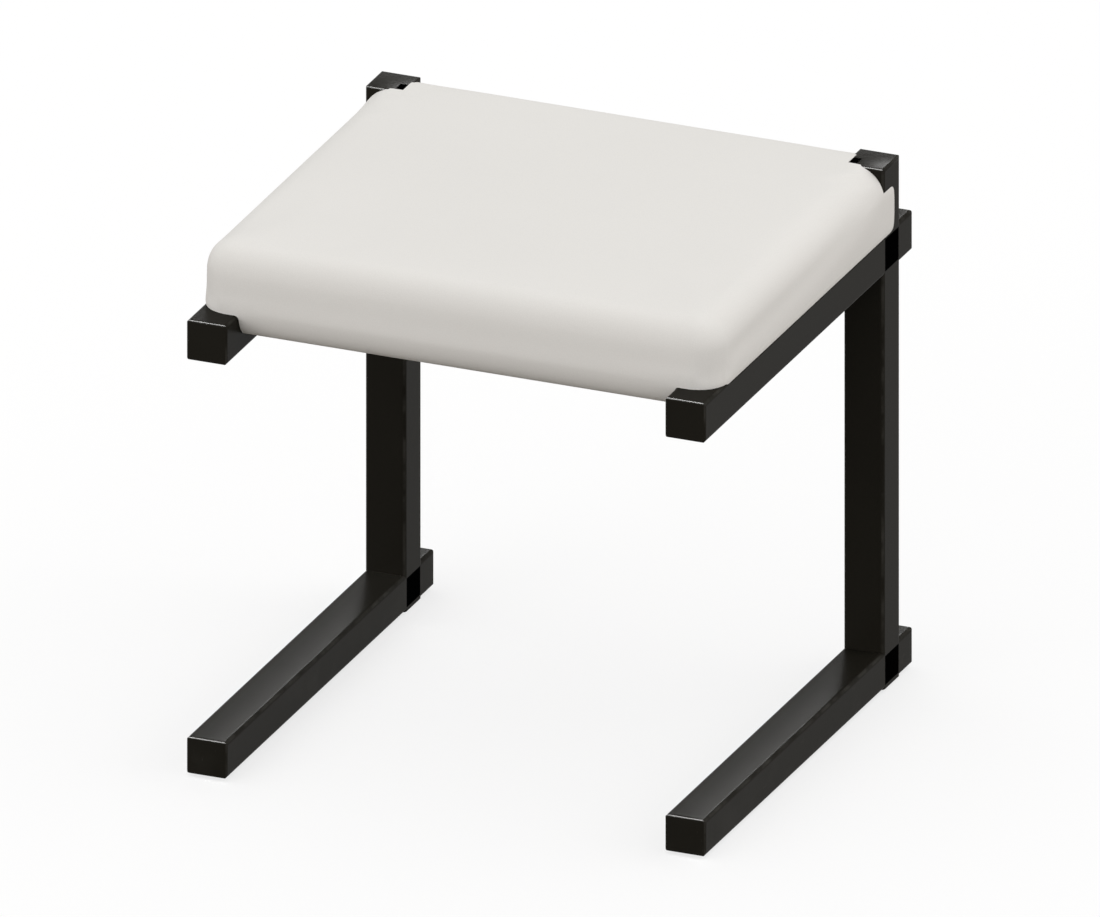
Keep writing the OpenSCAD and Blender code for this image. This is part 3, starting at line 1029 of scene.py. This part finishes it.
    def post_cutter(self, side: Side) -> bpy.types.Object:
        """The space round one post, drawn in at its top so that the rim laps over the cap.

        Args:
            side: Which post.

        Returns:
            The cutter object.
        """
        low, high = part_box("right_upper_post")
        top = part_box("right_post_cap")[1][2]
        levels = [(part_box("right_seat_rail")[0][2] - MM, -self.fit)]
        for turn in np.radians(self.cap_turns):
            drop = self.cap_radius * (1.0 - math.sin(turn))
            inset = self.cap_radius * (1.0 - math.cos(turn)) - self.fit
            levels.append((top - drop, inset))
        levels += [(top + self.rim_thickness, self.rim_lap), (top + self.cutter_past, self.rim_lap)]
        points: list[tuple[float, float, float]] = []
        for height, inset in levels:
            near, far = low[0] + inset, high[0] + self.fit
            front, back = low[1] + inset, high[1] + self.fit
            corners = [(near, front), (far, front), (far, back), (near, back)]
            points += [(side.value * x, y, height) for x, y in corners]
        walls = ring_faces(len(levels), 4, mirrored=side is Side.LEFT)
        return new_mesh(f"post_room_{side.name}", points, walls)

    def cutters(self) -> list[bpy.types.Object]:
        """Closed meshes that hold the rails and the posts, with a little room.

        Returns:
            The cutter objects.
        """
        low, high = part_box("right_seat_rail")
        far = self.high[1] + self.cutter_past
        near, outer = low[0] - self.tongue_room, high[0] + self.fit
        bend = self.tube_corner
        ring = [(near, low[2]), (outer, low[2]), (outer, high[2])]
        for turn in np.linspace(0.0, math.pi / 2, self.tube_corner_points):
            across, drop = bend * (1.0 - math.sin(turn)), bend * (1.0 - math.cos(turn))
            ring.append((near + across, high[2] - drop))
        made = []
        for side in Side:
            points = [(side.value * x, y, z) for y in (far, -far) for x, z in ring]
            walls = ring_faces(2, len(ring), mirrored=side is Side.LEFT)
            made.append(new_mesh(f"rail_room_{side.name}", points, walls))
            made.append(self.post_cutter(side))
        return made

    def build(self) -> list[bpy.types.Object]:
        """Builds the cushion and its stitches.

        Returns:
            The finished pieces.
        """
        piece = new_mesh("seat_cushion", *self.shell())
        piece.data.materials.append(self.finish)
        self.swell(piece)
        finer = piece.modifiers.new("finer", "SUBSURF")
        finer.levels = finer.render_levels = 1
        settle(piece)
        seam = BackSeam(self.thread, self.high[1], self.high[2] - self.seam_drop)
        seam.press(piece)
        cut(piece, self.cutters())
        piece.data.shade_smooth()
        piece.data.set_sharp_from_angle(angle=math.radians(self.smooth_below))
        sewn = seam.sewn(piece)
        for made in (piece, sewn):
            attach(made, BODY)
        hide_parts("seat_cover", "seat_foam")
        return [piece, sewn]


@dataclass
class DustCover:
    """The black cloth stretched and stapled under the seat."""

    finish: bpy.types.Material
    columns: int = 96
    rows: int = 86
    sag: float = 1.3 * MM
    full_span: float = 0.15
    edge_rise: float = 6.0
    pull: float = 0.25
    pull_waves: float = 230.0
    pull_fade: float = 14.0
    smooth_below: float = 40.0
    low: Vector = field(default_factory=lambda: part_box("dust_cover")[0])
    high: Vector = field(default_factory=lambda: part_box("dust_cover")[1])

    def droop(self, x: np.ndarray, y: np.ndarray) -> np.ndarray:
        """How far the cloth hangs between the crossbars and its stapled edges.

        Args:
            x: Places across.
            y: Places along.

        Returns:
            The drop in metres.
        """
        stops = [self.low[1]]
        for bar in ("front_crossbar", "rear_crossbar"):
            bar_low, bar_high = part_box(bar)
            stops += [bar_low[1], bar_high[1]]
        stops.append(self.high[1])
        fall = np.zeros_like(x)
        for start, end in zip(stops[::2], stops[1::2]):
            share = np.clip((y - start) / (end - start), 0.0, 1.0)
            fall += np.sin(math.pi * share) * min(1.0, (end - start) / self.full_span)
        across = np.clip(1.0 - np.abs(x) / self.high[0], 0.0, 1.0)
        pull = self.pull * np.sin(x * self.pull_waves) * np.exp(-across * self.pull_fade)
        rise = np.clip(across * self.edge_rise, 0.0, 1.0)
        return self.sag * np.clip(fall, 0.0, 1.0) * rise * (1.0 + pull)

    def build(self) -> list[bpy.types.Object]:
        """Builds the cloth as a thin sheet.

        Returns:
            The finished piece in a list.
        """
        xs = np.linspace(self.low[0], self.high[0], self.columns + 1)
        ys = np.linspace(self.low[1], self.high[1], self.rows + 1)
        x, y = (part.ravel() for part in np.meshgrid(xs, ys))
        fall = self.droop(x, y)
        top = np.column_stack([x, y, self.high[2] - fall])
        under = np.column_stack([x, y, self.low[2] - fall])
        width, count = self.columns + 1, len(x)
        faces: list[tuple[int, ...]] = []
        for r, c in product(range(self.rows), range(self.columns)):
            a = r * width + c
            upper = (a, a + 1, a + 1 + width, a + width)
            faces += [upper, tuple(count + k for k in (a, *upper[:0:-1]))]
        rim = (
            list(range(width))
            + [r * width + self.columns for r in range(1, self.rows + 1)]
            + [self.rows * width + c for c in range(self.columns - 1, -1, -1)]
            + [r * width for r in range(self.rows - 1, 0, -1)]
        )
        for a, b in zip(rim, rim[1:] + rim[:1]):
            faces.append((a, a + count, b + count, b))
        piece = new_mesh("seat_dust_cloth", np.vstack([top, under]), faces)
        piece.data.materials.append(self.finish)
        piece.data.shade_smooth()
        piece.data.set_sharp_from_angle(angle=math.radians(self.smooth_below))
        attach(piece, BODY)
        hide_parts("dust_cover")
        self.high[0] - self.low[0]
        self.high[1] - self.low[1]
        return [piece]


@dataclass
class CadPieces:
    """Rigid pieces that keep their CAD meshes and get a finish."""

    finish: bpy.types.Material
    names: Sequence[str]
    smooth_below: float = 32.0

    def build(self) -> list[bpy.types.Object]:
        """Dresses the named CAD nodes.

        Returns:
            The dressed nodes.
        """
        made = []
        for name in self.names:
            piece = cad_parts[name]
            piece.data.materials.clear()
            piece.data.materials.append(self.finish)
            piece.data.shade_smooth()
            piece.data.set_sharp_from_angle(angle=math.radians(self.smooth_below))
            made.append(piece)
        return made


@dataclass(frozen=True)
class SoftLamp:
    """A wide, far lamp for the colours of all pieces or for the gloss of the frames."""

    name: str
    towards: tuple[float, float, float]
    spread: float
    strength: float
    reach: Reach
    colour: tuple[float, float, float] = (1.0, 1.0, 1.0)
    distance: float = 3.0

    def build(self, glossy: bpy.types.Collection) -> bpy.types.Object:
        """Sets the lamp up.

        Args:
            glossy: The pieces that a gloss lamp shines on.

        Returns:
            The lamp object.
        """
        data = bpy.data.lights.new(self.name, "SUN")
        data.angle = math.radians(self.spread)
        data.energy = self.strength
        data.color = self.colour
        made = bpy.data.objects.new(self.name, data)
        made.location = Vector(self.towards) * self.distance
        made.rotation_euler = Vector(self.towards).to_track_quat("Z", "Y").to_euler()
        made.visible_diffuse = self.reach is Reach.COLOUR
        made.visible_glossy = self.reach is Reach.GLOSS
        if self.reach is Reach.GLOSS:
            made.light_linking.receiver_collection = glossy
        bpy.context.scene.collection.objects.link(made)
        return made


@dataclass
class Studio:
    """Camera, soft lamps, pale floor and white surroundings."""

    towards_camera: tuple[float, float, float] = (1.0, -2.4, 1.1)
    look_at: tuple[float, float, float] = (0.006053, -0.013351, 0.234569)
    picture_width: float = 0.88078
    distance: float = 3.0
    clip: tuple[float, float] = (0.05, 50.0)
    floor_half: float = 12.0
    ambient: float = 0.9
    floor_white: float = 0.99
    floor_lift: float = 0.72
    floor_bounce: Colour = (0.11, 0.095, 0.075, 1.0)
    lamps: Sequence[SoftLamp] = (
        SoftLamp("front_lamp", (-0.342, -0.940, 0.1), 60.0, 1.0, Reach.COLOUR, WARM_WHITE),
        SoftLamp("right_lamp", (0.940, 0.342, 0.1), 60.0, 1.16, Reach.COLOUR, WARM_WHITE),
        SoftLamp("front_gleam", (-0.354, -0.39, 0.85), 40.0, 125.0, Reach.GLOSS),
        SoftLamp("back_gleam", (-0.22, 0.80, 0.55), 12.0, 1.1, Reach.GLOSS),
    )

    def camera(self) -> bpy.types.Object:
        """A camera with parallel view lines, as in the photograph.

        Returns:
            The camera object.
        """
        data = bpy.data.cameras.new("camera")
        data.type = "ORTHO"
        data.ortho_scale = self.picture_width
        data.clip_start, data.clip_end = self.clip
        made = bpy.data.objects.new("camera", data)
        towards = Vector(self.towards_camera).normalized()
        made.location = Vector(self.look_at) + towards * self.distance
        made.rotation_euler = towards.to_track_quat("Z", "Y").to_euler()
        bpy.context.scene.collection.objects.link(made)
        bpy.context.scene.camera = made
        return made

    @staticmethod
    def seen(board: Board) -> Wire:
        """1 for what the eye sees, also in gloss and through glass, and 0 for soft light.

        Args:
            board: The material or world under work.

        Returns:
            The test as a wire.
        """
        path = board.node("ShaderNodeLightPath")
        eye = board.wire(path, "Is Camera Ray").highest(board.wire(path, "Is Glossy Ray"))
        return eye.highest(board.wire(path, "Is Transmission Ray"))

    def floor(self) -> bpy.types.Object:
        """A plain white floor that keeps the stool's shadow and throws little light back.

        Returns:
            The floor object.
        """
        board = Board("floor_paint")
        white = board.blend(board.noise(scale=3.0), grey(self.floor_white), grey(1.0))
        paint = board.node("ShaderNodeBsdfDiffuse", None, {"Color": white})
        glow = board.node("ShaderNodeEmission", None, {"Color": grey(1.0), "Strength": 1.0})
        lit = board.node(
            "ShaderNodeMixShader",
            None,
            {0: self.floor_lift, 1: paint.outputs[0], 2: glow.outputs[0]},
        )
        bounce = board.node("ShaderNodeBsdfDiffuse", None, {"Color": self.floor_bounce})
        both = board.node(
            "ShaderNodeMixShader",
            None,
            {0: self.seen(board), 1: bounce.outputs[0], 2: lit.outputs[0]},
        )
        board.node("ShaderNodeOutputMaterial", None, {"Surface": both.outputs[0]})
        signs = ((-1, -1), (1, -1), (1, 1), (-1, 1))
        corners = [(x * self.floor_half, y * self.floor_half, 0.0) for x, y in signs]
        made = new_mesh("studio_floor", corners, [(0, 1, 2, 3)])
        made.data.materials.append(board.material)
        return made

    def surroundings(self) -> None:
        """White round about for the eye and for gloss, and a softer light for the rest."""
        board = Board("surroundings", bpy.data.worlds.new("surroundings"))
        white = board.node("ShaderNodeBackground", None, {"Color": grey(1.0), "Strength": 1.0})
        soft = board.node(
            "ShaderNodeBackground", None, {"Color": grey(1.0), "Strength": self.ambient}
        )
        choice = board.node(
            "ShaderNodeMixShader",
            None,
            {0: self.seen(board), 1: soft.outputs[0], 2: white.outputs[0]},
        )
        board.node("ShaderNodeOutputWorld", None, {"Surface": choice.outputs[0]})
        bpy.context.scene.world = board.material

    def build(self) -> None:
        """Sets up the whole studio."""
        bpy.context.scene.view_settings.view_transform = "Standard"
        self.camera()
        self.floor()
        self.surroundings()
        glossy = bpy.data.collections.new("glossy_pieces")
        for name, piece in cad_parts.items():
            if not name.startswith("seat_"):
                glossy.objects.link(piece)
        for lamp in self.lamps:
            lamp.build(glossy)


def both_sides(*names: str) -> list[str]:
    """The left and right node of each name."""
    return [f"{side.name.lower()}_{name}" for side in Side for name in names]


def sub_assemblies() -> list[Any]:
    """All parts of the stool, each with its finish.

    Returns:
        The sub-assemblies in the order in which they are built.
    """
    coat = CoatedMetal().material()
    caps = CoatedMetal(name="cap_plastic", roughness=0.26, peel_height=0.00002)
    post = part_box("right_upper_post")
    middle = (post[0][1] + post[1][1]) / 2
    domed = replace(caps, name="domed_cap_plastic", domed_at=middle, crown=0.0010)
    tubes = both_sides(
        "seat_rail", "rail_tail", "runner", "runner_tail", "lower_post", "upper_post"
    )
    joints = both_sides("rail_joint", "runner_joint")
    crossbars = ["front_crossbar", "rear_crossbar"]
    nylon = ["rail_joint_covers", "runner_joint_covers", "post_cap_pads", "floor_glides"]
    fasteners = ["frame_screws", "seat_screws", "seat_washers", "insert_nuts"]
    return [
        CadPieces(coat, tubes + joints + crossbars),
        CadPieces(caps.material(), ["rail_caps", "runner_caps"]),
        CadPieces(domed.material(), both_sides("post_cap")),
        CadPieces(MouldedPlastic().material(), nylon),
        CadPieces(ZincPlate().material(), fasteners + ["dust_cover_staples"]),
        CadPieces(BirchPly().material(), ["seat_board"]),
        DustCover(DustCloth().material()),
        SeatCushion(SeatVinyl().material(), Thread().material()),
    ]


def main() -> None:
    """Builds the studio and every piece."""
    logging.basicConfig(level=logging.INFO, format="%(name)s: %(message)s")
    Studio().build()
    for assembly in sub_assemblies():
        for piece in assembly.build():
            log.info("%s: %d faces", piece.name, len(piece.data.polygons))


if __name__ == "__main__":
    main()
